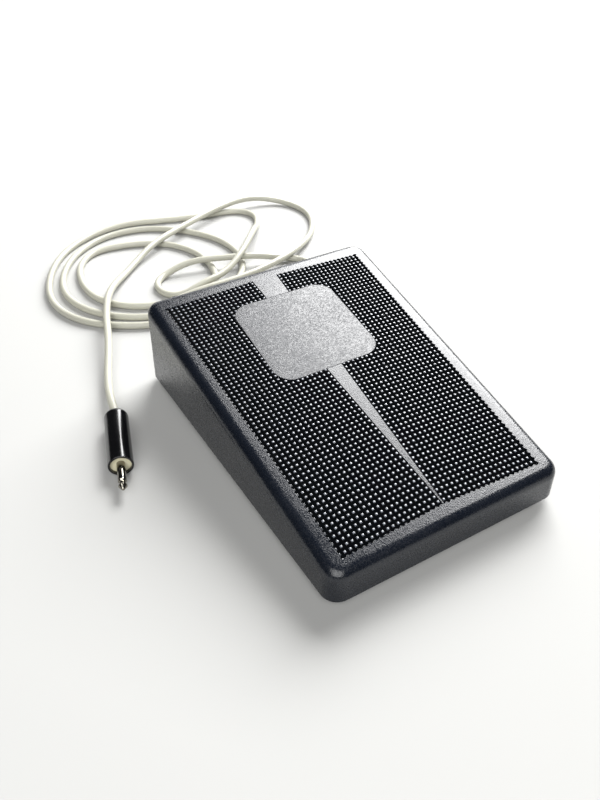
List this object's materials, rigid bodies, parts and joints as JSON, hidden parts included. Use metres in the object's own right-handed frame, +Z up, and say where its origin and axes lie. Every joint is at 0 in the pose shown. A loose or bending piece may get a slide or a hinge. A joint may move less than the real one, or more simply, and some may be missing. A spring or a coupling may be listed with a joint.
{
  "type": "sustain pedal",
  "caption": "Wedge-shaped black foot pedal with a studded tread, sprung on a base plate over a microswitch, with a white lead and a small jack plug.",
  "frame": {"origin": "centre of the pedal on the floor, under the rubber feet; the lead and plug are left out", "axes": "+X to the right side, +Y to the high back end where the lead leaves, +Z up"},
  "size_m": [0.1936, 0.3221, 0.0432],
  "materials": {
    "black_abs": "moulded, fine spark-eroded grain",
    "rubber": "matt moulded rubber",
    "zinc_steel": "bright zinc plate",
    "spring_steel": "drawn wire",
    "switch_case": "moulded phenolic",
    "white_nylon": "turned nylon",
    "brass_tabs": "stamped, tinned",
    "white_pvc": "extruded PVC",
    "red_pvc": "extruded PVC",
    "plug_black": "glossy moulding",
    "plug_cream": "cream moulding",
    "plug_nickel": "nickel plate"
  },
  "bodies": {
    "base": {"base_plate": "black_abs", "bumper_left": "rubber", "bumper_right": "rubber", "cable": "white_pvc", "cable_clamp": "white_nylon", "cable_inner": "white_pvc", "clamp_screws": "zinc_steel", "core_red": "red_pvc", "core_white": "white_pvc", "foot_back_left": "rubber", "foot_back_right": "rubber", "foot_front_left": "rubber", "foot_front_right": "rubber", "foot_screws": "zinc_steel", "hinge_pin_left": "zinc_steel", "hinge_pin_right": "zinc_steel", "lever_pin": "zinc_steel", "pin_clips": "zinc_steel", "plug_barrel": "plug_black", "plug_insulator": "plug_cream", "plug_ring": "plug_black", "plug_sleeve": "plug_nickel", "plug_tip": "plug_nickel", "spring_left": "spring_steel", "spring_right": "spring_steel", "strain_relief": "rubber", "switch_body": "switch_case", "switch_nuts": "zinc_steel", "switch_screws": "zinc_steel", "switch_terminals": "brass_tabs"},
    "treadle": {"treadle_cover": "black_abs", "stop_screws": "zinc_steel", "stop_washers": "rubber", "actuator_screw": "white_nylon", "actuator_nut": "zinc_steel"},
    "lever": {"switch_lever": "zinc_steel"},
    "plunger": {"switch_plunger": "white_nylon"}
  },
  "joints": [
    {"name": "treadle_press", "type": "hinge", "parent": "base", "child": "treadle", "pos_m": [0, -0.06595, 0.0095], "axis": [-1, 0, 0], "range_deg": [0, 1.2], "stiffness_Nm_per_rad": 6, "springref_deg": -6.88, "deforming": ["spring_left", "spring_right"]},
    {"name": "lever_swing", "type": "hinge", "parent": "base", "child": "lever", "pos_m": [0, 0.0184, 0.0275], "axis": [-1, 0, 0], "range_deg": [0, 5.91]},
    {"name": "plunger_slide", "type": "slide", "parent": "base", "child": "plunger", "axis": [0, 0, -1], "range_m": [0, 0.000739]}
  ],
  "couplings": [
    {"joint": "lever_swing", "follows": "treadle_press", "ratio": 4.9051},
    {"joint": "plunger_slide", "follows": "treadle_press", "m_per_rad": 0.034336}
  ]
}
